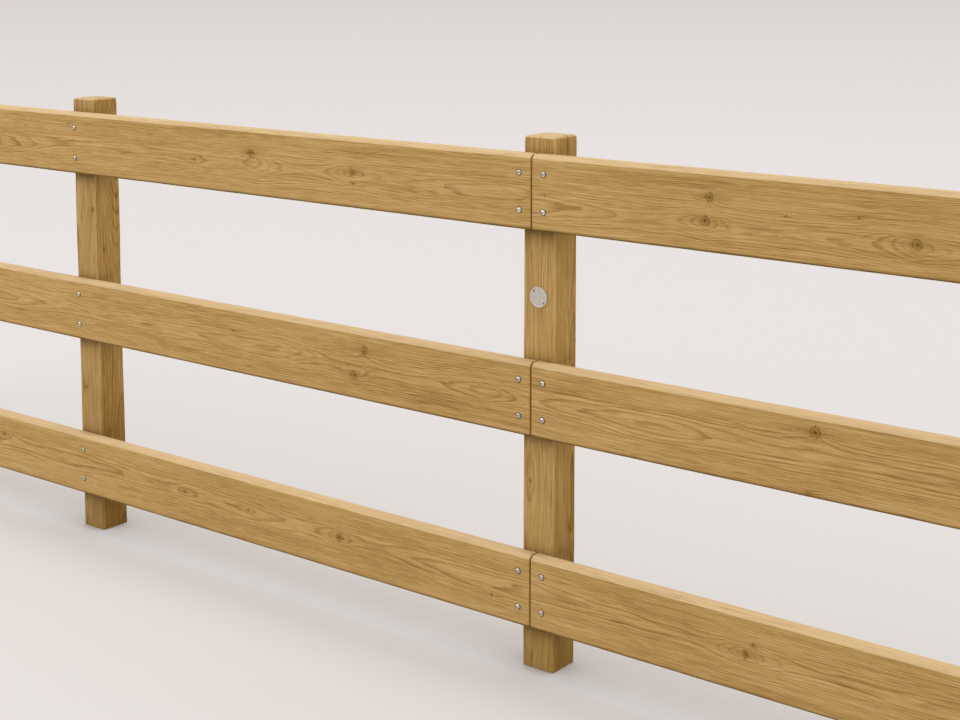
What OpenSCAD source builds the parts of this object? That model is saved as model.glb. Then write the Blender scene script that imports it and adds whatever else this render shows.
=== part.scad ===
// Timber rail fence: five square posts and three wide rails, screwed from the front.
//
// Millimetres, +Z up. The origin is the middle of the centre post's foot, at ground level.
// The fence runs along X, and the rails are on the -Y side of the posts, which is the front.
// Each rail spans two bays. The rails meet end to end over the centre post, which also
// carries a small round badge.

/* [Posts] */
// Spacing of the posts, centre to centre
bay_length = 1800; // [1200:50:2400]
// Side of the square posts
post_side = 100; // [90:1:140]
// Height of the posts above the ground
post_height = 1420; // [1400:10:1700]
// Radius of the four long edges of a post
post_edge_r = 5; // [1:0.5:10]
// Width of the bevel round the top of a post
post_bevel = 7; // [2:0.5:14]

/* [Rails] */
// Height of a rail, from its lower edge to its upper edge
rail_height = 195; // [150:5:220]
// Thickness of a rail, from front to back
rail_thickness = 36; // [28:1:50]
// Width of the bevel along a rail's upper front edge
rail_bevel = 11; // [2:0.5:13]
// Width of the narrow bevel along a rail's other three long edges
rail_arris = 3; // [1:0.5:6]
// Height of the bottom rail's lower edge above the ground
bottom_rail_z = 125; // [60:5:200]
// Height of the middle rail's lower edge above the ground
middle_rail_z = 640; // [560:5:700]
// Distance of the top rail's upper edge below the tops of the posts
top_rail_drop = 45; // [20:5:70]
// Open joint between the two rails that meet on the centre post
joint_gap = 4; // [1:0.5:8]

/* [Screws] */
// Diameter of a screw's domed head
head_d = 17.5; // [14:0.5:22]
// Height of the domed head
head_height = 5; // [3:0.5:7]
// Diameter of the plain shank
shank_d = 8; // [5:0.5:10]
// Depth of the screw in the post
bite = 60; // [30:1:75]
// Width across the flats of the hexagon socket
socket_af = 6; // [4:0.5:7]
// Depth of the hexagon socket
socket_depth = 2.5; // [1:0.5:3]
// Distance of a screw from the upper or lower edge of its rail
screw_edge = 49; // [30:1:60]
// Distance of a screw from the end of a rail, at the open joint
screw_end = 36; // [25:1:38]
// Radial clearance of a screw in its holes
screw_clear = 0.15; // [0.05:0.05:0.5]

/* [Badge] */
// Diameter of the round badge
badge_d = 55; // [40:1:70]
// Thickness of the badge's flat plate
badge_t = 1.5; // [1:0.1:3]
// Height of the badge's centre above the ground
badge_z = 1001; // [900:1:1100]
// Width of the raised rim of the badge
rim_w = 2.5; // [1:0.5:4]
// Height of the rim over the plate
rim_h = 0.8; // [0.3:0.1:1.5]
// Distance of a badge pin from the badge's centre
pin_r = 21; // [10:0.5:21]
// Diameter of a badge pin's head
pin_head_d = 4.5; // [3:0.5:6]
// Height of a badge pin's head
pin_head_h = 0.8; // [0.3:0.1:1.5]
// Diameter of a badge pin's shank
pin_d = 2; // [1:0.25:2.5]
// Depth of a badge pin in the post
pin_bite = 18; // [10:1:30]
// Radial clearance of a badge pin in its holes
pin_clear = 0.1; // [0.05:0.05:0.3]

/* [Hidden] */
$fn = 48;
half_side = post_side / 2;
front_y = -half_side;                   // front faces of the posts, backs of the rails
rail_front_y = front_y - rail_thickness;
top_rail_z = post_height - top_rail_drop - rail_height; // the top rail's lower edge
over = 1;                               // how far a cutting shape passes a face
bays_each_side = 2;                     // bays to the left and to the right of the centre post
centre_post = bays_each_side + 1;
post_count = 2 * bays_each_side + 1;
rail_end = bays_each_side * bay_length + half_side;
shank_clear_r = shank_d / 2 + screw_clear;
pin_hole_r = pin_d / 2 + pin_clear;
badge_pin_angles = [135, -45];

LEVELS = ["bottom", "middle", "top"];
SIDES = ["left", "right"];

// Lower edge of a rail by its level, and the direction in which a side's rails run
function level_z(level) = level == "bottom" ? bottom_rail_z : level == "middle" ? middle_rail_z : top_rail_z;
function side_sign(side) = side == "left" ? -1 : 1;

// Places along X: a post, and the screws at the joint
function post_x(number) = (number - centre_post) * bay_length;
function joint_screw_x(side) = side_sign(side) * (joint_gap / 2 + screw_end);

// X of every column of screws that holds one side's rails, and of every one that enters a post
function rail_screw_xs(side) = concat(
    [joint_screw_x(side)],
    [for (bay = [1 : bays_each_side]) side_sign(side) * bay * bay_length]);
function post_screw_xs(number) =
    number == centre_post ? [for (side = SIDES) joint_screw_x(side)] : [post_x(number)];

// Heights of the two screws in one rail
function screw_zs(level) = [level_z(level) + screw_edge, level_z(level) + rail_height - screw_edge];

POST_NAMES = [for (number = [1 : post_count]) str("post_", number)];
RAIL_NAMES = [for (level = LEVELS, side = SIDES) str(level, "_rail_", side)];
POST_SCREW_NAMES = [for (number = [1 : post_count], level = LEVELS)
    if (number != centre_post) str(level, "_rail_screws_post_", number)];
JOINT_SCREW_NAMES = [for (side = SIDES, level = LEVELS)
    str(level, "_rail_screws_joint_", side)];

// A rectangle with four round corners, centred on the origin
module round_rect(width, height, r) {
    square([width - 2 * r, height], center = true);
    square([width, height - 2 * r], center = true);
    for (sx = [-1, 1], sy = [-1, 1])
        translate([sx * (width / 2 - r), sy * (height / 2 - r)]) circle(r = r);
}

// The section of a rail, centred on the origin, with its front to the left
module rail_section() {
    x = rail_thickness / 2;
    y = rail_height / 2;
    polygon([[rail_arris - x, -y], [x - rail_arris, -y], [x, rail_arris - y],
        [x, y - rail_arris], [x - rail_arris, y], [rail_bevel - x, y],
        [-x, y - rail_bevel], [-x, rail_arris - y]]);
}

// The outline of a post's side: square at the foot, bevelled at the two top corners
module post_outline() {
    polygon([[-half_side, 0], [half_side, 0], [half_side, post_height - post_bevel],
        [half_side - post_bevel, post_height], [post_bevel - half_side, post_height],
        [-half_side, post_height - post_bevel]]);
}

// A bar that stands on the ground with the outline of a post's side
module post_slab() {
    rotate([90, 0, 0]) linear_extrude(height = post_side + 2 * over, center = true) post_outline();
}

// A straight hole along Y, from front_end to back_end
module bore_y(x, z, r, front_end, back_end) {
    translate([x, front_end, z]) rotate([-90, 0, 0]) cylinder(r = r, h = back_end - front_end);
}

// A post with the holes for its screws, and on the centre post for the badge's pins
module post(number) {
    color("burlywood") difference() {
        translate([post_x(number), 0, 0]) intersection() {
            linear_extrude(height = post_height) round_rect(post_side, post_side, post_edge_r);
            post_slab();
            rotate([0, 0, 90]) post_slab();
        }
        for (x = post_screw_xs(number), level = LEVELS, z = screw_zs(level))
            bore_y(x, z, shank_clear_r, front_y - over, front_y + bite + screw_clear);
        if (number == centre_post)
            for (angle = badge_pin_angles)
                bore_y(pin_r * cos(angle), badge_z + pin_r * sin(angle), pin_hole_r,
                    front_y - over, front_y + pin_bite + pin_clear);
    }
}

// A rail over two bays, from the open joint to the outer face of the end post
module rail(level, side) {
    length = rail_end - joint_gap / 2;
    middle_x = side_sign(side) * (joint_gap / 2 + length / 2);
    color("peru") difference() {
        translate([middle_x, front_y - rail_thickness / 2, level_z(level) + rail_height / 2])
            rotate([90, 0, 90]) linear_extrude(height = length, center = true) rail_section();
        for (x = rail_screw_xs(side), z = screw_zs(level))
            bore_y(x, z, shank_clear_r, rail_front_y - over, front_y + over);
    }
}

// A domed screw head with a hexagon socket, its flat underside at z = 0 and its dome up
module screw_head() {
    dome_r = (pow(head_d / 2, 2) + pow(head_height, 2)) / (2 * head_height);
    difference() {
        intersection() {
            translate([0, 0, head_height - dome_r]) sphere(r = dome_r);
            cylinder(d = head_d + 2 * over, h = head_height + over);
        }
        translate([0, 0, head_height - socket_depth])
            cylinder(d = socket_af / cos(30), h = socket_depth + over, $fn = 6);
    }
}

// A screw whose head seats on the front of a rail and whose shank ends in the post
module screw(x, z) {
    translate([x, rail_front_y, z]) {
        rotate([90, 0, 0]) screw_head();
        rotate([-90, 0, 0]) cylinder(d = shank_d, h = rail_thickness + bite);
    }
}

// The two screws of one rail in one column
module screw_pair(x, level) {
    color("silver") for (z = screw_zs(level)) screw(x, z);
}

// The round badge: a flat plate with a raised rim, with a hole for each pin
module badge() {
    color("lightsteelblue") difference() {
        translate([0, front_y, badge_z]) rotate([90, 0, 0]) {
            cylinder(d = badge_d, h = badge_t);
            difference() {
                cylinder(d = badge_d, h = badge_t + rim_h);
                translate([0, 0, badge_t]) cylinder(d = badge_d - 2 * rim_w, h = rim_h + over);
            }
        }
        for (angle = badge_pin_angles)
            bore_y(pin_r * cos(angle), badge_z + pin_r * sin(angle), pin_hole_r,
                front_y - badge_t - over, front_y + over);
    }
}

// The two pins that hold the badge
module badge_pins() {
    color("dimgray") for (angle = badge_pin_angles)
        translate([pin_r * cos(angle), front_y - badge_t, badge_z + pin_r * sin(angle)]) {
            rotate([90, 0, 0]) cylinder(d = pin_head_d, h = pin_head_h);
            rotate([-90, 0, 0]) cylinder(d = pin_d, h = badge_t + pin_bite);
        }
}

for (number = [1 : post_count])
    post(number);
for (level = LEVELS, side = SIDES)
    rail(level, side);
for (number = [1 : post_count], level = LEVELS)
    if (number != centre_post)
        screw_pair(post_x(number), level);
for (side = SIDES, level = LEVELS)
    screw_pair(joint_screw_x(side), level);
badge();
badge_pins();
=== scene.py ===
# %% [markdown]
# # A timber rail fence
#
# Five square posts carry three wide rails. The rails are screwed to the front of the posts,
# each one is long enough for two bays, and two of them meet end to end on the centre post.
# The solid model already has every piece at its real size and place. This lesson gives the
# timber the shape that planing and weather leave, and the figure that a growing tree leaves.

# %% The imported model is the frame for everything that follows
import math

import bpy
import numpy as np
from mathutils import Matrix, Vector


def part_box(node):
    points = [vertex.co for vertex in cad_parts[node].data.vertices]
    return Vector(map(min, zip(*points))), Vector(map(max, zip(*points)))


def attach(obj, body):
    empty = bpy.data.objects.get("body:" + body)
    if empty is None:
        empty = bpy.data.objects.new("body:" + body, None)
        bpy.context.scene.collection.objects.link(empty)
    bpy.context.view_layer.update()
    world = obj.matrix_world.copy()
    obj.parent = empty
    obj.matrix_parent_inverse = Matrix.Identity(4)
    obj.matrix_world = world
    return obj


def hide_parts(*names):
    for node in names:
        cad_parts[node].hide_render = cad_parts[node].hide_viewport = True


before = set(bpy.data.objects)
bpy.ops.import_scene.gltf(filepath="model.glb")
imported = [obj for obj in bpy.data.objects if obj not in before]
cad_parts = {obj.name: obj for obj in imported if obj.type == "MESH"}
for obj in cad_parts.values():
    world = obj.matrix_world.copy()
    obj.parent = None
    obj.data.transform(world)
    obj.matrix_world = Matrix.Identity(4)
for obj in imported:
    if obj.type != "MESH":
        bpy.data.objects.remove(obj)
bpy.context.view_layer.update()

scene = bpy.context.scene
MM = 0.001
X, Y, Z = range(3)
POSTS = sorted(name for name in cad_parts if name.startswith("post_"))
RAILS = sorted(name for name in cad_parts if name.endswith(("_rail_left", "_rail_right")))
SCREWS = sorted(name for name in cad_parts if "_screws_" in name)
print(len(POSTS), "posts,", len(RAILS), "rails,", len(SCREWS), "pairs of screws")

# %% [markdown]
# ## Meshes from arrays
#
# A piece of timber is a closed tube: an outline is carried along the piece, and both ends
# close on a point in the middle. All the points of such a tube fit in one array, with a row
# for each place along the piece and a column for each place round the outline. Blender takes
# the whole array in one call, so no loop ever visits a vertex.


# %% An object in the scene
def put(name, data, place=(0, 0, 0), turns=(0, 0, 0), **settings):
    """An object at place, turned by turns in degrees. settings are properties of its data."""
    for label, value in settings.items():
        setattr(data, label, value)
    made = bpy.data.objects.new(name, data)
    made.location = place
    made.rotation_euler = [math.radians(turn) for turn in turns]
    scene.collection.objects.link(made)
    return made


def tell(pieces, what):
    """Prints how many faces the pieces have."""
    print(sum(len(piece.data.polygons) for piece in pieces), "faces in", len(pieces), what)


# %% A closed tube, from an array of its points
def tube_faces(rows, columns):
    """Corner numbers of a tube's faces. A quad joins each point to the next one round and the
    next one along, and a fan of triangles joins each end row to its own middle point."""
    here = np.arange(columns)
    there = (here + 1) % columns
    row = np.arange(rows - 1)[:, None] * columns
    following = row + columns
    quads = np.stack([row + here, row + there, following + there, following + here], axis=-1)
    last, middle = (rows - 1) * columns, rows * columns
    first_fan = np.stack([there, here, np.full(columns, middle)], axis=-1)
    last_fan = np.stack([last + here, last + there, np.full(columns, middle + 1)], axis=-1)
    return quads.reshape(-1, 4), np.concatenate([first_fan, last_fan])


def signed_volume(points, triangles):
    """A sixth of the sum of each triangle's triple product: it is negative inside out."""
    a, b, c = (points[triangles[:, i]] for i in range(3))
    return float(np.einsum("ij,ij->i", a, np.cross(b, c)).sum() / 6)


def closed_tube(name, points, attributes=None):
    """A mesh object from points[row, column, xyz] in metres, closed at both ends, with its
    faces turned outwards. attributes maps a name to one number for each point."""
    rows, columns, _ = points.shape
    vertices = np.concatenate([points.reshape(-1, 3), points[[0, -1]].mean(axis=1)])
    quads, fans = tube_faces(rows, columns)
    triangles = np.concatenate([quads[:, [0, 1, 2]], quads[:, [0, 2, 3]], fans])
    if signed_volume(vertices, triangles) < 0:
        quads, fans = quads[:, ::-1], fans[:, ::-1]
    mesh = bpy.data.meshes.new(name)
    mesh.vertices.add(len(vertices))
    mesh.vertices.foreach_set("co", vertices.astype(np.float32).ravel())
    mesh.loops.add(quads.size + fans.size)
    mesh.loops.foreach_set("vertex_index", np.concatenate([quads.ravel(), fans.ravel()]))
    mesh.polygons.add(len(quads) + len(fans))
    starts = np.concatenate([np.arange(len(quads)) * 4, quads.size + np.arange(len(fans)) * 3])
    mesh.polygons.foreach_set("loop_start", starts)
    mesh.update(calc_edges=True)
    mesh.shade_smooth()
    for label, values in (attributes or {}).items():
        layer = mesh.attributes.new(label, "FLOAT", "POINT")
        values = np.concatenate([values.ravel(), values[[0, -1]].mean(axis=1)])
        layer.data.foreach_set("value", values.astype(np.float32))
    return put(name, mesh)


# %% [markdown]
# ## How the timber grew
#
# The pattern on a board is the tree's growth rings, cut open. A point's ring is its distance
# from the pith, the thin line up the middle of the trunk. The pith is never quite straight,
# and where it comes near the face of a board, the rings show as long pointed arches. A branch
# is a cone that starts at the pith, and where the saw crossed it the board has a knot. So
# each board gets its own pith, and the knots are places on its face. The mesh carries both
# as numbers, and the material draws the rings and the knots from them.


# %% Slow wanders and ripples, as sums of sine waves
def wander(place, length, size, seed):
    """A slow curve along one direction: five sine waves of about one length, whose phases and
    heights are chosen at random, added and scaled to about the given size."""
    chance = np.random.default_rng(seed)
    lengths = length * chance.uniform(0.6, 1.6, 5)
    phases = chance.uniform(0, math.tau, 5)
    heights = chance.uniform(0.4, 1.0, 5)
    waves = np.sin(math.tau * place[..., None] / lengths + phases) @ heights
    return size * waves / math.sqrt((heights ** 2).sum() / 2)


def ripple(along, across, depth, length, width, size, seed):
    """A ripple in space: nine plane waves, long along the grain and narrow across it."""
    chance = np.random.default_rng(seed)
    total = 0
    for _ in range(9):
        turns = along * chance.normal() / length
        turns = turns + (across * chance.normal() + depth * chance.normal()) / width
        total = total + np.sin(math.tau * turns + chance.uniform(0, math.tau))
    return size * total / 3


# %% The growth rings of one board, in millimetres
PITH_WANDERS = (1500, 5), (1300, 1.8)  # length and size, across the board and into it
RIPPLES = (700, 90, 0.8), (240, 34, 0.25)  # length, width and size
TIP = 0.2  # how round the tip of an arch is
SWING, SWING_LENGTH = 1.1, 4.7  # of the sine that makes wide and narrow years


def grow(board, along, across, depth):
    """The distance from the pith. The pith wanders, and at each arch it comes nearer to the
    face as exp(tip - hypot(u, tip)), where u is the distance along the board in lengths of the
    arch. A slow sine makes wide and narrow years."""
    seed = board["seed"]
    pith_across, pith_depth = board["pith"]
    middle_across = pith_across + wander(along, *PITH_WANDERS[0], seed)
    middle_depth = pith_depth + wander(along, *PITH_WANDERS[1], seed + 1)
    for place, rise, before, after in board["arches"]:
        away = (along - place) / np.where(along < place, before, after)
        middle_depth = middle_depth - rise * np.exp(TIP - np.hypot(away, TIP))
    growth = np.hypot(across - middle_across, depth - middle_depth)
    for number, sizes in enumerate(RIPPLES):
        growth = growth + ripple(along, across, depth, *sizes, seed + 2 + number)
    return growth + SWING * np.sin(growth / SWING_LENGTH + seed)


# %% Where a point lies against a branch
CLIMB = 0.15  # how far a branch climbs along the board for each millimetre outwards
THINNEST = 0.5  # a branch's least radius, in millimetres
FAR_AWAY = 1000  # ahead of a branch, for all that lies behind the pith


def branch(board, spot, along, across, depth):
    """Where points lie against one branch, whose axis runs from the pith through the spot: how
    far ahead of the axis and aside of it, and the branch's radius there. A branch is a cone,
    so its radius grows evenly from the pith outwards. Behind the pith there is no branch."""
    place, spot_across, spot_depth, radius = spot
    pith_across, pith_depth = board["pith"]
    axis_across, axis_depth = spot_across - pith_across, spot_depth - pith_depth
    across, depth = across - pith_across, depth - pith_depth
    reach = math.hypot(axis_across, axis_depth)
    outward = (across * axis_across + depth * axis_depth) / reach
    aside = (depth * axis_across - across * axis_depth) / reach
    ahead = along - place - CLIMB * (outward - reach) + np.where(outward > 0, 0, FAR_AWAY)
    return ahead, aside, np.maximum(radius * outward / reach, THINNEST)


# %% The branch nearest to each face
NO_KNOT = (9.0, 9.0, 1.0)  # nine radii away, where no knot shows


def values_of(items, label, kind=float, width=1):
    """One property of all the items, as an array with a row of width numbers for each item."""
    values = np.zeros((len(items), width), kind)
    items.foreach_get(label, values.ravel())
    return values.squeeze()


def mark_knots(mesh, board, measure):
    """Each face goes with the branch that is nearest to its middle, counted in radii. Its
    corners keep where they lie against it: (ahead / radius, aside / radius, radius)."""
    vertex = values_of(mesh.loops, "vertex_index", int)
    sizes = values_of(mesh.polygons, "loop_total", int)
    corners = measure(values_of(mesh.vertices, "co", width=3)[vertex])
    centres = measure(values_of(mesh.polygons, "center", width=3))
    nearest = np.full(len(sizes), np.inf)
    marks = np.tile(NO_KNOT, (len(vertex), 1))
    for spot in board["knots"]:
        ahead, aside, radius = branch(board, spot, *centres)
        distance = np.hypot(ahead, aside) / radius
        closer = distance < nearest
        nearest = np.where(closer, distance, nearest)
        ahead, aside, radius = branch(board, spot, *corners)
        here = np.stack([ahead / radius, aside / radius, radius], axis=-1)
        marks = np.where(np.repeat(closer, sizes)[:, None], here, marks)
    layer = mesh.attributes.new("knot", "FLOAT_VECTOR", "CORNER")
    layer.data.foreach_set("vector", marks.astype(np.float32).ravel())


# %% [markdown]
# ## One function shapes every board
#
# A planed board has a rectangular outline with softened edges. A rail has a wide bevel on its
# upper front edge, which sheds the rain, and narrow ones elsewhere. A post is rounded. The
# outline is kept as two things: a frame that slides along the sides, and a direction that
# turns round the corners. Setting the surface in then only shortens the direction.


# %% The section of a board
CORNER_STEPS = 9
CROWDING = 1.8  # how much a corner's places crowd together at its ends
ROUND_SPACING, ALONG_SPACING = 4.2 * MM, 11 * MM
CRISP = 0.7 * MM  # from a corner's end to the next place, so that the shading turns fast
GROOVE = np.array([-1, -0.4, 0, 0.4, 1])  # places across a groove, in half widths


def soft_corner(bluntness):
    """The shape of a softened corner, as shares of its size: the curve on which x to a power
    and y to that power add up to 1. Power 1 is a flat bevel and power 2 a quarter circle. The
    places crowd together at both ends, where a bevel turns sharply."""
    even = np.linspace(-1, 1, CORNER_STEPS)
    angle = math.radians(45) * (1 + np.sign(even) * (1 - (1 - np.abs(even)) ** CROWDING))
    corner = np.stack([np.cos(angle), np.sin(angle)], axis=-1)
    return corner / (np.abs(corner) ** bluntness).sum(axis=1, keepdims=True) ** (1 / bluntness)


def board_section(width, depth, edges, bluntness, slits):
    """Places round a rectangle with softened corners, as arrays with a row for each place.
    edges are the sizes of the four corners: the upper or +across one at the back, then on
    round by the other back one, to the upper front one. slide runs from -1 to 1 between the
    centres of the corners, turn is the outward direction, and edge goes evenly from one
    corner's size to the next one's. side 0 is +across, 1 the back, 2 -across, 3 the front and
    -1 a corner, and share runs from 0 to 1 along it. A slit gets five places for its groove."""
    corners = np.array([[1, 1], [-1, 1], [-1, -1], [1, -1]], float)
    following = np.roll(edges, -1)
    lengths = np.array([width, depth, width, depth]) - edges - following
    arc = soft_corner(bluntness)
    slide, turn, edge, sides, places = [], [], [], [], []
    for corner, length in enumerate(lengths):
        side = (corner + 1) % 4
        share = np.linspace(0, 1, max(2, round(length / ROUND_SPACING)) + 1)[1:-1]
        share = np.concatenate([[CRISP / length], share, [1 - CRISP / length]])
        for slit_side, middle, _, _, deep in slits:
            if slit_side == side:
                half = deep / 2 * MM
                share = share[np.abs(share - middle) * length > half + 1 * MM]
                share = np.sort(np.concatenate([share, middle + half * GROOVE / length]))
        slide += [np.tile(corners[corner], (len(arc), 1)),
                  corners[corner] + share[:, None] * (corners[side] - corners[corner])]
        turn += [arc, np.tile(arc[-1], (len(share), 1))]
        edge += [np.full(len(arc), edges[corner]),
                 edges[corner] + share * (following[corner] - edges[corner])]
        sides += [np.full(len(arc), -1), np.full(len(share), side)]
        places += [np.zeros(len(arc)), share]
        arc = arc[:, ::-1] * np.array([-1, 1])
    return [np.concatenate(part) for part in (slide, turn, edge, sides, places)]


# %% The rows along a board
CAP = np.concatenate([np.linspace(0.04, 0.92, 9), [0.985]])  # sizes of the rows over an end


def soft_end(size, bluntness):
    """How far a softened end is set back and set in, from its outermost ring to its innermost:
    the same curve as a corner of the section."""
    corner = soft_corner(bluntness)
    return size * (1 - corner[:, 0]), size * (1 - corner[:, 1])


def board_rows(low, high, ends, dome):
    """Everything that changes along a board: the place, the inset and the shrink of each row.
    The end caps are rows that shrink towards the middle of the end. The last end is a dome:
    it falls from its middle by dome times the square of the shrink."""
    back_low, in_low = soft_end(*ends[0])
    back_high, in_high = soft_end(*ends[1])
    back_high = dome + back_high * (1 - dome / ends[1][0])
    first, last = low + ends[0][0], high - ends[1][0]
    body = np.linspace(first, last, round((last - first) / ALONG_SPACING))
    body = np.sort(np.concatenate([body, [first + CRISP, last - CRISP]]))
    place = np.concatenate([np.full(len(CAP), low), (low + back_low)[:-1], body,
                            (high - back_high)[-2::-1], high - dome * CAP[::-1] ** 2])
    inset = np.concatenate([np.full(len(CAP), ends[0][0]), in_low[:-1], np.zeros(len(body)),
                            in_high[-2::-1], np.full(len(CAP), ends[1][0])])
    shrink = np.concatenate([CAP, np.ones(len(place) - 2 * len(CAP)), CAP[::-1]])
    return place[:, None], inset[:, None], shrink[:, None]


# %% [markdown]
# ## Drying checks
#
# A post that was sawn with the pith inside it cracks as it dries, because the rings shrink
# more round the trunk than across it. The cracks are V grooves, as wide as they are deep,
# that run along the grain and close again at their ends. They are cut into the surface, so
# that they catch light and shadow on every side of the post, and painted shade darkens each
# groove more the deeper it is. Each one is listed as its side, its share of the way across that
# side, its lower and upper end, and its depth. An upper end of 1500 is past the top, so the
# groove runs out there.


# %% The grooves that drying opens
CLOSES_UP, CLOSES_DOWN = 20 * MM, 150 * MM  # the lengths over which a groove closes
SWAY, SWAY_LENGTH, SWAY_WIDTH = 1.1 * MM, 400 * MM, 14 * MM


def cut_slits(slits, place, sides, shares, lengths, seed):
    """How deep the surface is cut at each point, and how far the grain sways there. A groove's
    section is a V, and its depth falls to 0 over 20 mm at the top and 150 mm at the bottom.
    The sway is a slow wander that fades away from the groove as a bell curve."""
    cut, sway = 0, 0
    for number, (side, share, bottom, top, deep) in enumerate(slits):
        off = np.abs(shares - share) * lengths[side]
        on_side = sides == side
        fade = np.clip((top * MM - place) / CLOSES_UP, 0, 1)
        fade = fade * np.clip((place - bottom * MM) / CLOSES_DOWN, 0, 1)
        uneven = 0.8 + wander(place, 70 * MM, 0.15, seed + number)
        groove = np.clip(1 - 2 * off / (deep * MM), 0, 1)
        cut = cut + on_side * groove * fade * uneven * deep * MM
        near = on_side * np.exp(-(off / SWAY_WIDTH) ** 2)
        sway = sway + near * wander(place, SWAY_LENGTH, SWAY, seed + 20 + number)
    return cut, sway


# %% [markdown]
# ## Painted shade under the rails
#
# The shade that a rail casts on the post below it is painted into the post's colour: most at
# the front, where the dark ends within 50 mm of the rail, and less at the sides, where it fades
# more slowly. A little painted shade also lies in the crease along the rail's top, and the
# rail's own lower edge is painted dark in a thin line, as the shade under it.

# %% How far the painted shade reaches, with lengths in millimetres
FRONT_SKIN = 4  # what lies less deep than this counts as the front
RAIL_SHADE_FULL, RAIL_SHADE_END = 3, 8  # above a rail's lower edge
SHADE_FRONT, SHADE_SIDE, SHADE_ABOVE = 25, 35, 25
CREASE_SHADE, CREASE_LENGTH = 0.5, 12
SIDE_SHARE, SIDE_SHADE_FULL, SIDE_SHADE_END = 0.85, 45, 105  # the last two are depths into a post


def rail_edge_shade(points, low):
    """The painted shade along a rail's lower front edge: 1 there, falling to 0 in a straight line
    at
    8 mm above it.
    """
    up, into = (points[..., 2] - low[2]) / MM, (points[..., 1] - low[1]) / MM
    painted_shade = np.clip((RAIL_SHADE_END - up) / (RAIL_SHADE_END - RAIL_SHADE_FULL), 0, 1)
    return np.where(into < FRONT_SKIN, painted_shade, 0)


def post_shade_under_rails(points):
    """The painted shade that the rails cast on a post, from 0 to 1: below a rail's lower edge the
    power of e to minus (distance / 25 mm) ** 1.4 at the front, and to minus distance / 35 mm at
    the sides, with short fades above that edge and round the upper one, where it is painted
    shade in the crease. At the sides it also fades towards the post's back."""
    front, side = 0, 0
    for rail in RAILS:
        low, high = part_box(rail)
        below = np.maximum(low[2] - points[..., 2], 0) / MM
        above = np.maximum(points[..., 2] - low[2], 0) / (SHADE_ABOVE * MM)
        upper = CREASE_SHADE * np.exp(-np.abs(points[..., 2] - high[2]) / (CREASE_LENGTH * MM))
        front = np.maximum(front, np.maximum(np.exp(-(below / SHADE_FRONT) ** 1.4 - above), upper))
        side = np.maximum(side, np.maximum(np.exp(-below / SHADE_SIDE - above), upper))
    depth = (points[..., 1] - high[1]) / MM
    side = SIDE_SHARE * side * np.clip((SIDE_SHADE_END - depth) / (SIDE_SHADE_END - SIDE_SHADE_FULL), 0, 1)
    return np.where(depth < FRONT_SKIN, front, side)


# %% How far the surface is worn back
CORNER_WEAR, FACE_WEAR, MOST_WEAR = 1 * MM, 0.2 * MM, 2.5 * MM


def wear(place, slide, turn, seed):
    """The corners lose about 1 mm, unevenly along the board, and the faces up to 0.4 mm."""
    corner = 2 * np.abs(turn[:, 0] * turn[:, 1])
    softened = corner * (1 + wander(place, 0.5, 0.6, seed)) * CORNER_WEAR
    uneven = (1 + wander(place + 3 * slide[:, 0], 0.25, 0.5, seed + 1)) * FACE_WEAR
    return np.clip(softened + uneven, 0, MOST_WEAR)


# %% A board with its surface, its softened edges and its figure
TOP_LENGTH = 22 * MM  # the part of a post over which its edges grow rounder
DARK_DEPTH = 4 * MM  # a groove as deep as this is painted quite dark, as painted shade in it


def make_board(name, board, axes):
    """axes are the frame's axes along, across and into the board."""
    low, high = np.array(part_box(name))
    along_axis, across_axis, depth_axis = axes
    middle = (low + high) / 2
    width, depth = (high - low)[across_axis], (high - low)[depth_axis]
    edges = np.array(board["edges"]) * MM
    ends = [(size * MM, power) for size, power in board["ends"]]
    place, inset, shrink = board_rows(low[along_axis], high[along_axis], ends, board["dome"] * MM)
    slide, turn, edge, sides, shares = board_section(
        width, depth, edges, board["bluntness"], board["slits"])
    side_lengths = np.array([depth, width, depth, width]) - edges - np.roll(edges, 1)
    cut, sway = cut_slits(board["slits"], place, sides, shares, side_lengths, board["seed"] + 40)

    worn = (wear(place, slide, turn, board["seed"] + 5) + cut) * (shrink == 1)
    near_top = np.clip((place - high[along_axis]) / TOP_LENGTH + 1, 0, 1)
    corner = np.maximum(edge - inset, 0) + board["round_top"] * MM * near_top ** 2
    side_on = turn[:, ::-1] * np.array([-1, 1])
    across, into = [
        (slide[:, i] * (size / 2 - inset - corner) + turn[:, i] * (corner - worn)
         + side_on[:, i] * sway) * shrink for i, size in enumerate((width, depth))]

    def measure(points):
        """Millimetres along the board, across it from its middle, and into it from its face."""
        return (points[..., along_axis] / MM,
                (points[..., across_axis] - middle[across_axis]) / MM,
                (points[..., depth_axis] - low[depth_axis]) / MM)

    points = np.zeros(across.shape + (3,))
    points[..., along_axis] = place
    points[..., across_axis] = middle[across_axis] + across
    points[..., depth_axis] = middle[depth_axis] + into
    piece = closed_tube(name + "_timber", points, {
        "growth": grow(board, *measure(points)),
        # painted shade in each drying check, by its depth
        "groove_shade": cut / DARK_DEPTH + np.zeros(across.shape),
        # painted shade: under the rails on a post, and along the lower front edge on a rail
        "painted_shade": post_shade_under_rails(points) if name in POSTS else rail_edge_shade(points, low),
        "shade": np.full(across.shape, board["shade"]),
        "board": np.full(across.shape, float(board["seed"]))})
    mark_knots(piece.data, board, measure)
    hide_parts(name)
    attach(piece, "root")
    return piece


# %% [markdown]
# ## Eleven boards, each from its own tree
#
# Lengths here are in millimetres. A rail is sawn flat: its pith lies some 100 mm behind the
# face, so the face shows arches and the top edge shows straight lines. A post is sawn with
# its pith inside, and its shade says how light its wood is. Each knot is a place along the
# board, across it and into it, and a radius. An arch is a place where the pith comes nearer
# to the face: how much, and over what length before and after that place.

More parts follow.
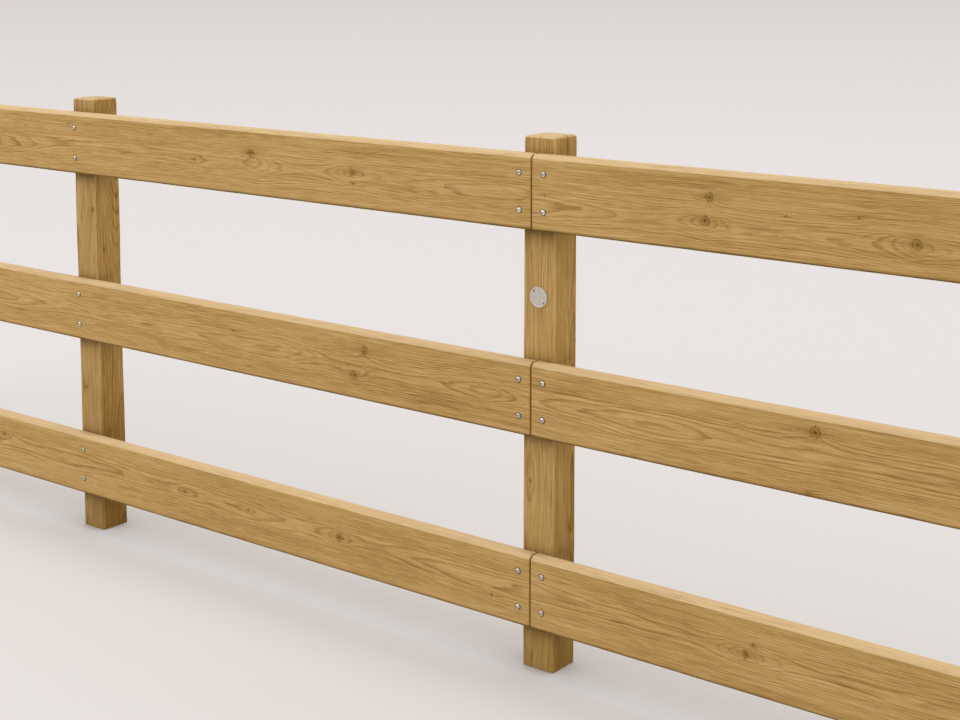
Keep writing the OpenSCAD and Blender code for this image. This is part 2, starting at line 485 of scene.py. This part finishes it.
# %% The rails
# What all rails share. ends are the size and the bluntness of the edges round both ends.
FLAT_SAWN = {"edges": (3, 3, 3, 11), "bluntness": 1.2, "ends": ((3, 2), (3, 2)), "dome": 0,
             "round_top": 0, "slits": [], "shade": 1.0}
RAIL_FIGURE = {
    "top_rail_left": {"seed": 11, "pith": (-6, 96), "knots": [
        (-1007, 27, 0, 12), (-611, 2, 0, 12), (-608, -28, 0, 5), (-1248, -10, 0, 5),
        (-1406, -33, 0, 3), (-1830, 60, 0, 3), (-2700, 12, 0, 10), (-3260, -34, 0, 8)],
        "arches": [(-985, 5.2, 60, 150), (-30, 3, 360, 200), (-2340, 15, 160, 430)]},
    "top_rail_right": {"seed": 23, "pith": (-34, 98), "knots": [
        (517, 34, 0, 10), (506, -23, 0, 13), (897, 22, 0, 4), (1034, -24, 0, 12),
        (41, -3, 0, 3.5), (718, 8, 0, 3.5), (1790, 15, 0, 9), (2480, -38, 0, 7),
        (3150, 28, 0, 10)],
        "arches": [(511, 1.8, 22, 24), (1043, 2, 30, 42), (-900, 14, 400, 450),
                   (2100, 20, 500, 350)]},
    "middle_rail_left": {"seed": 37, "pith": (-4, 92), "knots": [
        (-572, 41, 0, 13), (-611, -30, 0, 12), (-1090, 28, 0, 4), (-2520, -22, 0, 9),
        (-3120, 35, 0, 8)],
        "arches": [(-2210, 14, 300, 460), (-900, 9, 260, 200), (-130, 7, 260, 90)]},
    "middle_rail_right": {"seed": 41, "pith": (6, 104), "knots": [
        (803, 57, 0, 13), (790, -92, 0, 8), (1640, -30, 0, 9), (2350, 26, 0, 5),
        (3080, -14, 0, 10)],
        "arches": [(430, 26, 700, 1150), (2500, 16, 380, 460)]},
    "bottom_rail_left": {"seed": 53, "pith": (2, 94), "knots": [
        (-673, 0, 0, 12), (-1041, 3, 0, 5), (-1319, 4, 0, 6), (-125, -37, 0, 5),
        (-2217, 27, 0, 8), (-2840, -30, 0, 9), (-3330, 20, 0, 6)],
        "arches": [(-1850, 7, 240, 500), (-1300, 2.6, 60, 150), (-2350, 15, 300, 150),
                   (260, 14, 500, 300)]},
    "bottom_rail_right": {"seed": 67, "pith": (3, 98), "knots": [
        (637, 0, 0, 12), (656, 28, 0, 5), (1390, -25, 0, 8), (2120, 35, 0, 9),
        (2810, -10, 0, 5), (3320, 16, 0, 9)],
        "arches": [(-260, 10, 300, 420), (640, 2, 50, 80), (1700, 20, 420, 380)]},
}
rails = [make_board(name, {**FLAT_SAWN, **RAIL_FIGURE[name]}, (X, Z, Y)) for name in RAILS]
tell(rails, "rails")

# %% The posts
BOXED_HEART = {"edges": (5, 5, 5, 5), "bluntness": 2, "ends": ((0.6, 2), (7, 1.2)), "dome": 2.5,
               "round_top": 4, "arches": []}
POST_FIGURE = {
    "post_1": {"seed": 71, "pith": (14, 38), "shade": 0.97,
        "knots": [(980, -20, 0, 8), (420, 50, 55, 7)],
        "slits": [(3, 0.42, 700, 1500, 4), (1, 0.6, 500, 1500, 5), (0, 0.7, 1300, 1500, 3)]},
    "post_2": {"seed": 83, "pith": (-36, 84), "shade": 0.88,
        "knots": [(1062, 32, 0, 8), (930, 50, 30, 6), (470, -18, 0, 5)],
        "slits": [(3, 0.7, 60, 420, 3), (3, 0.46, 1210, 1500, 5), (0, 0.3, 1330, 1500, 4),
                  (0, 0.6, 1290, 1500, 3), (1, 0.5, 900, 1500, 5)]},
    "post_3": {"seed": 97, "pith": (-26, 88), "shade": 0.98,
        "knots": [(509, -25, 0, 5), (735, 50, 40, 7), (380, 50, 70, 6)],
        "slits": [(0, 0.54, 1240, 1500, 7), (3, 0.5, 1250, 1500, 3), (3, 0.5, 40, 330, 3),
                  (0, 0.8, 1340, 1500, 3), (3, 0.28, 1350, 1500, 2.5), (0, 0.62, 880, 1240, 3),
                  (2, 0.4, 700, 1500, 5)]},
    "post_4": {"seed": 101, "pith": (-8, 50), "shade": 0.95,
        "knots": [(1090, 12, 0, 7), (560, 50, 35, 8)],
        "slits": [(3, 0.55, 380, 1130, 4), (2, 0.5, 600, 1500, 5), (3, 0.3, 1320, 1500, 3)]},
    "post_5": {"seed": 113, "pith": (6, 62), "shade": 1.0,
        "knots": [(900, -30, 0, 7), (350, 50, 60, 6)],
        "slits": [(0, 0.4, 300, 1500, 5), (3, 0.3, 900, 1500, 3)]},
}
posts = [make_board(name, {**BOXED_HEART, **POST_FIGURE[name]}, (Z, X, Y)) for name in POSTS]
tell(posts, "posts")

# %% [markdown]
# ## Screws that were turned on a lathe
#
# A stainless timber screw is round about its axis, so it is a profile turned about that axis:
# each point of the profile has a radius and a height. The socket in the head is a hexagon,
# which is the same profile with a radius that is shorter between the six corners.

# %% A turned piece, and the screw's profile
TURNS, DOME_STEPS = 48, 9
SOCKET_CORNER, SHANK_R, TIP_LENGTH, TIP_R = 3.46 * MM, 4 * MM, 6 * MM, 0.3 * MM
RIM_WIDTH, RIM_HIGH, RIM_LOW = 0.4 * MM, 0.5 * MM, 0.35 * MM  # of the flat rim round the dome
SOCKET = (0.3, 2.6), (0.8, 2.3), (0.95, 1.9), (1, 0.3)  # share of the radius, depth in mm


def turned(profile, hexagon_rows=0):
    """Points of a profile of (radius, height) turned about the height axis. The first rows are
    hexagons: the radius is times cos 30 degrees over the cosine of the angle from the middle
    of the nearest side."""
    radius, height = np.array(profile, float).T
    angle = np.linspace(0, math.tau, TURNS, endpoint=False)
    hexagon = math.cos(math.pi / 6) / np.cos(angle % (math.pi / 3) - math.pi / 6)
    rows = np.arange(len(radius))[:, None]
    reach = radius[:, None] * np.where(rows < hexagon_rows, hexagon, 1)
    return np.stack([reach * np.cos(angle), reach * np.sin(angle),
                     np.repeat(height[:, None], TURNS, axis=1)], axis=-1)


def face_front(local, x, y, z):
    """A turned piece laid down, so that its axis points out at the front from x, y, z."""
    return np.stack([x + local[..., 0], y - local[..., 2], z + local[..., 1]], axis=-1)


def screw_profile(head_r, head_h, length):
    """From the floor of the socket, over the dome and its small flat rim, to the shank's tip.
    The dome is part of a circle, whose radius comes from its width and height by the sagitta
    rule: (width squared plus height squared) over twice the height."""
    dome_r, dome_h = head_r - RIM_WIDTH, head_h - RIM_HIGH
    circle = (dome_r ** 2 + dome_h ** 2) / (2 * dome_h)
    radius = np.linspace(SOCKET_CORNER, dome_r, DOME_STEPS)
    height = np.sqrt(circle ** 2 - radius ** 2) - (circle - dome_h) + RIM_HIGH
    socket = [(share * SOCKET_CORNER, head_h - deep * MM) for share, deep in SOCKET]
    rim = [(head_r, RIM_LOW), (head_r, 0)]
    shank = [(SHANK_R, 0), (SHANK_R, -length + TIP_LENGTH), (TIP_R, -length)]
    return socket + list(zip(radius, height)) + rim + shank


# %% Two screws for each rail at each column
SOCKET_GRIME_AND_SHADE, RIM_GRIME_AND_SHADE_FROM = 0.45, 0.8  # how dark the socket is painted, and where the rim's dark starts: grime and painted shade


def make_screws(name):
    """Both screws of a pair, as one mesh. Their places come from the corners of the solid
    pair's box."""
    low, high = np.array(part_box(name))
    head_r = (high[0] - low[0]) / 2
    face_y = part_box("top_rail_left")[0][1]
    local = turned(screw_profile(head_r, face_y - low[1], high[1] - face_y), len(SOCKET))
    # grime and painted shade: in the socket and round the rim of each head
    in_socket = (np.arange(len(local)) < len(SOCKET))[:, None]
    on_rim = np.hypot(local[..., 0], local[..., 1]) > RIM_GRIME_AND_SHADE_FROM * head_r
    grime_and_shade = np.where(in_socket, SOCKET_GRIME_AND_SHADE, np.where(on_rim, 1.0, 0.0))
    screws = []
    for number, z in enumerate((low[2] + head_r, high[2] - head_r)):
        points = face_front(local, (low[0] + high[0]) / 2, face_y, z)
        screws.append(closed_tube(f"{name}_{number}", points, {"grime_and_shade": grime_and_shade}))
    with bpy.context.temp_override(active_object=screws[0], selected_editable_objects=screws):
        bpy.ops.object.join()
    pair = screws[0]
    pair.name = name + "_turned"
    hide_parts(name)
    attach(pair, "root")
    return pair


screws = [make_screws(name) for name in SCREWS]
tell(screws, "pairs of screws")

# %% [markdown]
# ## A blank badge
#
# The round badge on the centre post is a stamped disc. Stamping gives a sheet soft steps: a
# raised rim, a shallow dish inside it and a plain raised bar in the middle. Each step is a
# smooth ramp of the height, so the whole face is one height over two parameters, the
# distance from the middle and the angle.

# %% The badge's face as a height field
PLATE, RIM = 1.5 * MM, 0.8 * MM
RIM_START, RIM_TOP, RIM_ROUND = 3.2 * MM, 2.4 * MM, 0.8 * MM  # distances from the disc's edge
BAR_HALF, BAR_R, BAR_SLOPE, BAR_HEIGHT = 7.5 * MM, 5 * MM, 0.4 * MM, 0.35 * MM
GROOVE_R, GROOVE_WIDTH, GROOVE_DEEP = 6.6 * MM, 0.5 * MM, 0.3 * MM


def ramp(start, end, value):
    """From 0 at start to 1 at end, with no corner at either: 3t squared less 2t cubed."""
    share = np.clip((value - start) / (end - start), 0, 1)
    return share * share * (3 - 2 * share)


def badge_height(across, up, radius):
    """The plate's thickness, plus the rim, which is rounded down at its outer edge, plus a bar
    with round ends, less a fine groove round the bar."""
    distance = np.hypot(across, up)
    edge = ramp(radius - RIM_START, radius - RIM_TOP, distance)
    rounded = ramp(radius - RIM_ROUND, radius, distance)
    bar = np.hypot(np.maximum(np.abs(across) - BAR_HALF, 0), up)
    raised = 1 - ramp(BAR_R - BAR_SLOPE, BAR_R + BAR_SLOPE, bar)
    groove = np.exp(-((bar - GROOVE_R) / GROOVE_WIDTH) ** 2)
    return PLATE + RIM * (edge - 0.35 * rounded) + BAR_HEIGHT * raised - GROOVE_DEEP * groove


badge_low, badge_high = np.array(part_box("badge"))
badge_r = (badge_high[0] - badge_low[0]) / 2
badge_middle = (badge_low + badge_high) / 2
disc_r = badge_r * np.concatenate([np.linspace(0.02, 0.86, 40), np.linspace(0.865, 1, 12)])
disc = turned([(radius, 0) for radius in disc_r])
disc[..., 2] = badge_height(disc[..., 0], disc[..., 1], badge_r)
back = disc[[-1, 0]]
back[..., 2] = 0
disc = np.concatenate([disc, back])
badge = closed_tube(
    "badge_stamped", face_front(disc, badge_middle[0], badge_high[1], badge_middle[2]))
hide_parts("badge")
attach(badge, "root")
tell([badge], "badge")

# %% [markdown]
# ## Colour, and a helper for nodes
#
# Colours are written as they look on a screen, in hex. A shader works with amounts of light,
# so one function turns the first into the second.


# %% Hex to light, and one function that adds a node
def light(code):
    """The sRGB rule: below 0.04045 a straight line, above it a power of 2.4."""
    screen = np.array([int(code[i:i + 2], 16) for i in (1, 3, 5)]) / 255
    linear = np.where(screen <= 0.04045, screen / 12.92, ((screen + 0.055) / 1.055) ** 2.4)
    return (*linear.tolist(), 1.0)


def node(tree, kind, *inputs, **settings):
    """Adds a node. settings are its properties. inputs fill its sockets in their order, with a
    number, a colour, or a link from an output, which is a node's first if none is named."""
    made = tree.nodes.new(kind)
    for label, value in settings.items():
        setattr(made, label, value)
    for socket, value in zip([socket for socket in made.inputs if socket.enabled], inputs):
        if isinstance(value, bpy.types.Node):
            value = next(socket for socket in value.outputs if socket.enabled)
        if isinstance(value, bpy.types.NodeSocket):
            tree.links.new(value, socket)
        else:
            socket.default_value = value
    return made


MATH, VECTOR, MIX = "ShaderNodeMath", "ShaderNodeVectorMath", "ShaderNodeMix"
RANGE, NOISE, SPREAD = "ShaderNodeMapRange", "ShaderNodeTexNoise", "ShaderNodeMapping"
SMOOTH, COLOUR = {"interpolation_type": "SMOOTHSTEP"}, {"data_type": "RGBA"}
TIMES, TIMES_PLUS = {"operation": "MULTIPLY"}, {"operation": "MULTIPLY_ADD"}


def new_material(name):
    """An empty material, the tree of its nodes, its shader, and a point's place in the piece."""
    material = bpy.data.materials.new(name)
    material.use_nodes = True
    tree = material.node_tree
    place = node(tree, "ShaderNodeTexCoord").outputs["Object"]
    return material, tree, tree.nodes["Principled BSDF"], place


def dress(tree, shader, colour, gloss, height, strength, depth):
    """Gives the shader its colour, its roughness, and a bump from a height in metres."""
    bump = node(tree, "ShaderNodeBump", strength, depth)
    tree.links.new(height.outputs[0], bump.inputs["Height"])
    tree.links.new(colour.outputs[2], shader.inputs["Base Color"])
    tree.links.new(gloss.outputs[0], shader.inputs["Roughness"])
    tree.links.new(bump.outputs["Normal"], shader.inputs["Normal"])


# %% [markdown]
# ## Oiled softwood
#
# Larch and pine lay down pale, soft wood in spring and a thin dark line in late summer, so a
# ring starts pale, darkens slowly and stops short. Oil makes both golden and gives a dull
# gloss. What faces the light is painted paler, as its sheen: most on top, some in front, and
# not at the sides, and under that painted sheen the rings and streaks are fainter. A post's
# vertical edges get a painted highlight, and near the ground a post gets painted shade, most at
# its sides. To the eye the boards are a warm gold with fine brown lines, and pale along their
# tops, where the sheen is painted.

# %% Streaks along the grain
# Length and width of each kind of streak in millimetres, and how much it changes the tone. A
# fibre of softwood is 0.04 mm wide, too fine to show, so the hairs are drawn 1.7 mm wide.
STREAKS = {"hairs": (60, 1.7, 0.5), "strands": (200, 4.6, 0.32), "bundles": (450, 12, 0.16),
           "bands": (1100, 45, 0.12), "patches": (500, 160, 0.12)}
VEIN_WIDTH, VEIN_TONE = 0.16, -0.22


def streak(tree, place, grain, length, width):
    """Noise from about -1 to 1, whose patches are length by width, along the grain."""
    scale = [1 / ((length if axis == grain else width) * MM) for axis in range(3)]
    spread = node(tree, SPREAD, place, (0, 0, 0), (0, 0, 0), scale)
    noise = node(tree, NOISE, spread, 1.0, 2.0, 0.6)
    return node(tree, MATH, noise, 4.0, -2.0, **TIMES_PLUS)


def streak_tone(tree, streaks):
    """Above 0 lighter, below it darker: thin dark veins where the strands' noise is near 0,
    plus each kind of streak times its own strength."""
    vein = node(tree, MATH, streaks["strands"], operation="ABSOLUTE")
    vein = node(tree, RANGE, vein, VEIN_WIDTH, 0.0, **SMOOTH)
    tone = node(tree, MATH, vein, VEIN_TONE, **TIMES)
    for kind, pattern in streaks.items():
        tone = node(tree, MATH, pattern, STREAKS[kind][2], tone, **TIMES_PLUS)
    return tone


# %% The rings
def draw_rings(tree, growth, board, strands, bundles, ring_width):
    """Late wood, from 0 to 1: the growth is divided into rings, which the streaks make a little
    wavy. Each darkens towards its end and stops there, and each year has its own strength, from
    0.4 to 1 by chance."""
    wavy = node(tree, MATH, strands, 0.05, bundles, **TIMES_PLUS)
    rings = node(tree, MATH, growth, 1 / ring_width, **TIMES)
    rings = node(tree, MATH, wavy, 0.06, rings, **TIMES_PLUS)
    phase = node(tree, MATH, rings, operation="FRACT")
    year = node(tree, MATH, rings, operation="FLOOR")
    year = node(tree, MATH, year, board, operation="ADD")
    chance = node(tree, "ShaderNodeTexWhiteNoise", year, noise_dimensions="1D")
    strength = node(tree, MATH, chance, 0.6, 0.4, **TIMES_PLUS)
    darkens = node(tree, RANGE, phase, 0.5, 0.94, **SMOOTH)
    stops = node(tree, RANGE, phase, 1.0, 0.96, **SMOOTH)
    late = node(tree, MATH, darkens, stops, **TIMES)
    return node(tree, MATH, late, strength, **TIMES)


# %% The knots
def draw_knots(tree, mark, place, strands):
    """From a point's place against its branch, in radii: the hill that the rings bend round,
    what lies inside the knot, its body with the streaks that run out of it, and its dark core
    with the bark. Noise with patches of 9 mm makes all of them ragged."""
    rough = node(tree, NOISE, place, 110.0, 2.0, 0.6).outputs["Color"]
    rough = node(tree, VECTOR, rough, (-0.5, -0.5, -0.5), operation="ADD")
    ragged = node(tree, VECTOR, rough, (1.1, 1.1, 1.1), mark, **TIMES_PLUS)
    lens = node(tree, VECTOR, ragged, (0.22, 0.53, 0), (0, 0, 0.2), **TIMES_PLUS)
    lens = node(tree, VECTOR, lens, operation="LENGTH")
    lens = node(tree, MATH, lens, -1.0, **TIMES)
    hill = node(tree, MATH, lens, operation="EXPONENT")

    flat = node(tree, VECTOR, ragged, (1, 1, 0), **TIMES)
    distance = node(tree, VECTOR, flat, operation="LENGTH")
    inside = node(tree, RANGE, distance, 1.1, 0.8, **SMOOTH)
    sides = node(tree, VECTOR, flat, operation="ABSOLUTE")
    fade = node(tree, VECTOR, sides, (-0.33, -1.7, 0), operation="DOT_PRODUCT")
    fade = node(tree, MATH, fade, operation="EXPONENT")
    streaks = node(tree, RANGE, strands, -0.5, 0.7, 0.7, 1.5, **SMOOTH)
    wing = node(tree, MATH, fade, streaks, **TIMES)
    clear = node(tree, MATH, inside, -0.7, 1.0, **TIMES_PLUS)
    wing = node(tree, MATH, wing, clear, **TIMES)
    body = node(tree, MATH, inside, 0.62, wing, **TIMES_PLUS)

    bark_in = node(tree, RANGE, distance, 0.7, 0.88, **SMOOTH)
    bark_out = node(tree, RANGE, distance, 1.14, 0.96, **SMOOTH)
    bark = node(tree, MATH, bark_in, bark_out, **TIMES)
    spoke = node(tree, VECTOR, flat, operation="NORMALIZE")
    spoke = node(tree, VECTOR, spoke, place, operation="ADD")
    spoke = node(tree, RANGE, node(tree, NOISE, spoke, 2.6, 1.0), 0.45, 0.62, **SMOOTH)
    bark = node(tree, MATH, bark, spoke, **TIMES)
    bark = node(tree, MATH, bark, 0.92, **TIMES)
    core = node(tree, RANGE, distance, 0.46, 0.14, **SMOOTH)
    check = node(tree, MATH, spoke, inside, **TIMES)
    core = node(tree, MATH, check, 0.12, core, **TIMES_PLUS)
    core = node(tree, MATH, core, bark, operation="MAXIMUM")
    return hill, inside, body, core


# %% Painted sheen, painted shade and painted highlights
# the painted sheen: the side the light comes from, and how far a face turns to it for all of it
LIT_SIDE, FULL_LIGHT = (-0.25, -0.45, 0.86), 0.86
# the timber's own colour, and the paler colour that its painted sheen gives it
FRESH, SHEEN_PALE = "#BA924C", "#CAAD80"
# the first colour serves pale streaks and the painted highlight on a post's edges
PALE_GRAIN_AND_HIGHLIGHT, LATE, KNOT, CORE = "#DBBD8A", "#7C561D", "#80591C", "#5A3A08"
# tints of painted shade: under the rails and on faces that look down, and near a post's foot
SHADE_TINT, FOOT_SHADE_TINT = "#A6A07A", "#CFCCAC"
CALM_RINGS, CALM_STREAKS = -0.85, -0.5  # what the full painted sheen takes from their strength
MULTIPLIED = {"blend_type": "MULTIPLY", **COLOUR}


def facing_light(tree, normal):
    """From 0 to 1: the square of how far the surface turns to the light, which paints a paler
    sheen on it.
    """
    lit_share = node(tree, VECTOR, normal, LIT_SIDE, operation="DOT_PRODUCT")
    lit_share = node(tree, RANGE, lit_share, 0.0, FULL_LIGHT)
    return node(tree, MATH, lit_share, 2.0, operation="POWER")


def paint_shade_below(tree, colour, painted_shade, normal, bundles):
    """Painted shade: the colour times a dark tint, as far as the mesh says so or the surface
    looks down.
    """
    under = node(tree, VECTOR, normal, (0, 0, -1), operation="DOT_PRODUCT")
    under = node(tree, RANGE, under, 0.1, 0.7, **SMOOTH)
    uneven = node(tree, MATH, bundles, 0.25, 1.0, **TIMES_PLUS)
    shaded_share = node(tree, MATH, painted_shade, uneven, **TIMES)
    shaded_share = node(tree, MATH, shaded_share, under, operation="MAXIMUM")
    return node(tree, MIX, shaded_share, colour, light(SHADE_TINT), **MULTIPLIED)


def paint_post_highlight_and_shade(tree, colour, normal, place, lit_share, foot_shade_height):
    """A painted highlight on the edges, where the surface turns to X and to Y at once, and below
    the given height painted shade that fades upwards and towards the light."""
    # a painted highlight along a post's vertical edges
    turned_to = node(tree, "ShaderNodeSeparateXYZ", normal)
    edge = node(tree, MATH, turned_to.outputs["X"], turned_to.outputs["Y"], **TIMES)
    edge = node(tree, MATH, edge, operation="ABSOLUTE")
    edge = node(tree, RANGE, edge, 0.15, 0.5, 0.0, 0.3, **SMOOTH)
    colour = node(tree, MIX, edge, colour, light(PALE_GRAIN_AND_HIGHLIGHT), **COLOUR)
    # painted shade near the ground, weaker on faces turned to the light
    height = node(tree, "ShaderNodeSeparateXYZ", place).outputs["Z"]
    foot_shade = node(tree, RANGE, height, foot_shade_height, 0.0, **SMOOTH)
    shaded = node(tree, MATH, lit_share, -1.5, 1.0, **TIMES_PLUS)
    foot_shade = node(tree, MATH, foot_shade, shaded, **TIMES)
    return node(tree, MIX, foot_shade, colour, light(FOOT_SHADE_TINT), **MULTIPLIED)


# %% The timber material
RING_BEND = -0.9  # how far a knot pushes the rings outwards, in radii
KNOT_COVER = 0.8


def timber(name, grain, ring_width, contrast, foot_shade_height=None):
    """grain is the axis along which the board grew, ring_width is in millimetres, and contrast
    is how dark the late wood is. The last argument is given for a post: its edges get a painted
    highlight, and up to that height it gets painted shade that fades upwards."""
    material, tree, shader, place = new_material(name)
    growth, groove_shade, painted_shade, shade, board, knot = (
        node(tree, "ShaderNodeAttribute", attribute_name=label)
        for label in ("growth", "groove_shade", "painted_shade", "shade", "board", "knot"))
    mark, board = knot.outputs["Vector"], board.outputs["Fac"]
    apart = node(tree, VECTOR, place, board, operation="ADD")
    streaks = {kind: streak(tree, apart, grain, length, width)
               for kind, (length, width, _) in STREAKS.items()}
    hairs, strands, bundles, *_ = streaks.values()

    hill, inside, body, core = draw_knots(tree, mark, place, strands)
    radius = node(tree, "ShaderNodeSeparateXYZ", mark).outputs["Z"]
    bend = node(tree, MATH, hill, radius, **TIMES)
    bent = node(tree, MATH, bend, RING_BEND, growth.outputs["Fac"], **TIMES_PLUS)
    late = draw_rings(tree, bent, board, strands, bundles, ring_width)
    outside = node(tree, MATH, 1.0, inside, operation="SUBTRACT")
    late = node(tree, MATH, late, outside, **TIMES)

    normal = node(tree, "ShaderNodeNewGeometry").outputs["Normal"]
    lit_share = facing_light(tree, normal)
    # painted sheen: paler where the surface turns to the light
    colour = node(tree, MIX, lit_share, light(FRESH), light(SHEEN_PALE), **COLOUR)
    calm = node(tree, MATH, lit_share, CALM_RINGS, 1.0, **TIMES_PLUS)
    late = node(tree, MATH, late, calm, **TIMES)
    calm = node(tree, MATH, lit_share, CALM_STREAKS, 1.0, **TIMES_PLUS)
    tone = node(tree, MATH, streak_tone(tree, streaks), calm, **TIMES)
    lighter = node(tree, RANGE, tone, 0.0, 1.0)
    darker = node(tree, RANGE, tone, 0.0, -1.0)
    dark = node(tree, MATH, late, contrast, darker, **TIMES_PLUS)
    colour = node(tree, MIX, lighter, colour, light(PALE_GRAIN_AND_HIGHLIGHT), **COLOUR)
    colour = node(tree, MIX, dark, colour, light(LATE), **COLOUR)
    # painted shade under the rails and on the faces that look down
    colour = paint_shade_below(tree, colour, painted_shade.outputs["Fac"], normal, bundles)
    colour = node(tree, MIX, 1.0, colour, shade.outputs["Fac"], **MULTIPLIED)
    if foot_shade_height:
        # a painted highlight on a post's edges and painted shade near its foot
        colour = paint_post_highlight_and_shade(tree, colour, normal, place, lit_share, foot_shade_height)
    # knots in their own colours, and painted shade in the drying checks in a knot core's colour
    for share, code in ((body, KNOT), (core, CORE), (groove_shade.outputs["Fac"], CORE)):
        share = node(tree, MATH, share, KNOT_COVER, **TIMES)
        colour = node(tree, MIX, share, colour, light(code), **COLOUR)

    height = node(tree, MATH, hairs, 0.5, strands, **TIMES_PLUS)
    height = node(tree, MATH, late, -0.5, height, **TIMES_PLUS)
    gloss = node(tree, RANGE, strands, -1.0, 1.0, 0.62, 0.5)
    dress(tree, shader, colour, gloss, height, 0.4, 0.25 * MM)
    shader.inputs["Specular IOR Level"].default_value = 0.12
    print(name, "has", len(tree.nodes), "nodes")
    return material


rail_timber = timber("oiled_flat_sawn_softwood", X, 2.6, 0.74)
post_timber = timber("oiled_boxed_heart_softwood", Z, 3.2, 0.7, foot_shade_height=0.7)
for rail in rails:
    rail.data.materials.append(rail_timber)
for post in posts:
    post.data.materials.append(post_timber)

# %% [markdown]
# ## Steel
#
# Stainless screws come out of the tumbler with a soft shine. Their rims and sockets are
# painted dark, as grime and as painted shade, so each head is a bright dot with a dark ring.
# The badge is brushed in one direction before it is stamped, and shows as a pale grey disc.
# Its pins are dull dark nails.


# %% The metals
# Marks to a metre. The tumbler's are drawn 1.1 mm wide and the brush's 0.4 mm, which is
# several times too wide, to show at all.
TUMBLED, BRUSHED, DULL_PATCHES = 900, 2500, 120.0
# the dark of grime and painted shade on a screw's socket and rim
GRIME_AND_SHADE = "#3A3028"


def steel(name, clean, dull, roughness, brushed=None):
    """A metal with fine marks, whose colour varies from clean to dull, and is painted dark where
    the mesh says so, as grime and painted shade. brushed is the length of a brush mark against
    its width."""
    material, tree, shader, place = new_material(name)
    scale = (BRUSHED / brushed, TUMBLED, BRUSHED) if brushed else (TUMBLED,) * 3
    marks = node(tree, NOISE, node(tree, SPREAD, place, (0, 0, 0), (0, 0, 0), scale), 1.0, 3.0)
    worn = node(tree, NOISE, place, DULL_PATCHES, 3.0)
    share = node(tree, RANGE, worn, 0.35, 0.7, 0.0, 0.5, **SMOOTH)
    tint = node(tree, MIX, share, light(clean), light(dull), **COLOUR)
    # grime and painted shade where the mesh marks them
    grime_and_shade = node(tree, "ShaderNodeAttribute", attribute_name="grime_and_shade").outputs["Fac"]
    grime_and_shade = node(tree, MATH, grime_and_shade, 0.85, **TIMES)
    tint = node(tree, MIX, grime_and_shade, tint, light(GRIME_AND_SHADE), **COLOUR)
    gloss = node(tree, RANGE, worn, 0.3, 0.7, roughness - 0.06, roughness + 0.08, **SMOOTH)
    dress(tree, shader, tint, gloss, marks, 0.2, 0.1 * MM)
    shader.inputs["Metallic"].default_value = 1.0
    print(name, "has", len(tree.nodes), "nodes")
    return material


tumbled_steel = steel("tumbled_stainless_steel", "#E2DAD0", "#6F5E4C", 0.24)
brushed_steel = steel("brushed_stainless_steel", "#CFCBC2", "#B5B0A6", 0.38, brushed=30)
nail_steel = steel("dark_nail_steel", "#7E7A74", "#5B5751", 0.4)
for pair in screws:
    pair.data.materials.append(tumbled_steel)
badge.data.materials.append(brushed_steel)
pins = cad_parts["badge_pins"]
pins.data.materials.clear()
pins.data.materials.append(nail_steel)

# %% [markdown]
# ## The studio
#
# A pale floor runs out of sight, and its paint grows a little darker far away, as a painted
# falloff of the light. An even sky fills the shadows, and there are three lamps. A very soft
# one stands almost overhead. A smaller one, straight above, draws the line of shade under the
# bottom rail. A weak one at the front left keeps the fronts of the far bays bright.

# %% The floor
FLOOR_NEAR, FLOOR_FAR = "#CAC7C6", "#BDB9B7"
FLOOR_RADIUS, FADE_FROM, FADE_TO = 90, 11, 65  # metres
UNDER_FEET = 0.5 * MM
bpy.ops.mesh.primitive_circle_add(
    vertices=96, radius=FLOOR_RADIUS, fill_type="NGON", location=(0, 0, -UNDER_FEET))
floor = bpy.context.object
floor.name = "studio_floor"
floor_paint, tree, shader, place = new_material("matt_studio_paint")
# painted falloff of the light: the floor's paint darkens with the distance
distance = node(tree, VECTOR, place, operation="LENGTH")
distance = node(tree, MATH, distance, 10.0, operation="LOGARITHM")
far = node(tree, RANGE, distance, math.log10(FADE_FROM), math.log10(FADE_TO))
paint = node(tree, MIX, far, light(FLOOR_NEAR), light(FLOOR_FAR), **COLOUR)
tree.links.new(paint.outputs[2], shader.inputs["Base Color"])
shader.inputs["Roughness"].default_value = 0.9
shader.inputs["Specular IOR Level"].default_value = 0.1
floor.data.materials.append(floor_paint)
print("The floor darkens from", FADE_FROM, "to", FADE_TO, "m away")

# %% The sky, which shines in one colour and is seen in another
BACKDROP, SKY = "#DBD5D2", (0.68, 0.64, 0.6, 1)
sky = bpy.data.worlds.new("studio_sky")
scene.world = sky
sky.use_nodes = True
tree = sky.node_tree
path = node(tree, "ShaderNodeLightPath")
seen = path.outputs["Is Camera Ray"]
for ray in ("Is Glossy Ray", "Is Transmission Ray"):
    seen = node(tree, MATH, seen, path.outputs[ray], operation="MAXIMUM")
even = node(tree, MIX, seen, SKY, light(BACKDROP), **COLOUR)
tree.links.new(even.outputs[2], tree.nodes["Background"].inputs["Color"])

# %% The lamps
lights = bpy.data.lights
put("softbox", lights.new("softbox", "SUN"), turns=(8, 5, 0), energy=1.58,
    color=(0.97, 1.0, 1.04), angle=math.radians(120))
put("top_lamp", lights.new("top_lamp", "SUN"), energy=0.65, angle=math.radians(26))
put("side_lamp", lights.new("side_lamp", "AREA"), (-4.0, -3.2, 3.4), (57, 0, -38),
    energy=30, size=2.2)
print("Lamps:", [lamp.name for lamp in lights])

# %% [markdown]
# ## The camera
#
# The viewer stands in front of the fence and to its right, with the eye a little under
# 1.9 m, and looks along it to the left. The lens is a short telephoto, shifted down so that
# the posts stay nearly upright.

# %% Camera
EYE = (2.477, -3.498, 1.887)
TURN_LEFT, LOOK_DOWN = 37.74, 6.74
scene.camera = put(
    "viewer", bpy.data.cameras.new("viewer"), EYE, (90 - LOOK_DOWN, 0, TURN_LEFT),
    sensor_width=36.0, lens=62.86, shift_y=-0.22, clip_end=300)
scene.view_settings.view_transform = "Standard"
print("The lens is", round(scene.camera.data.lens, 1), "mm long")
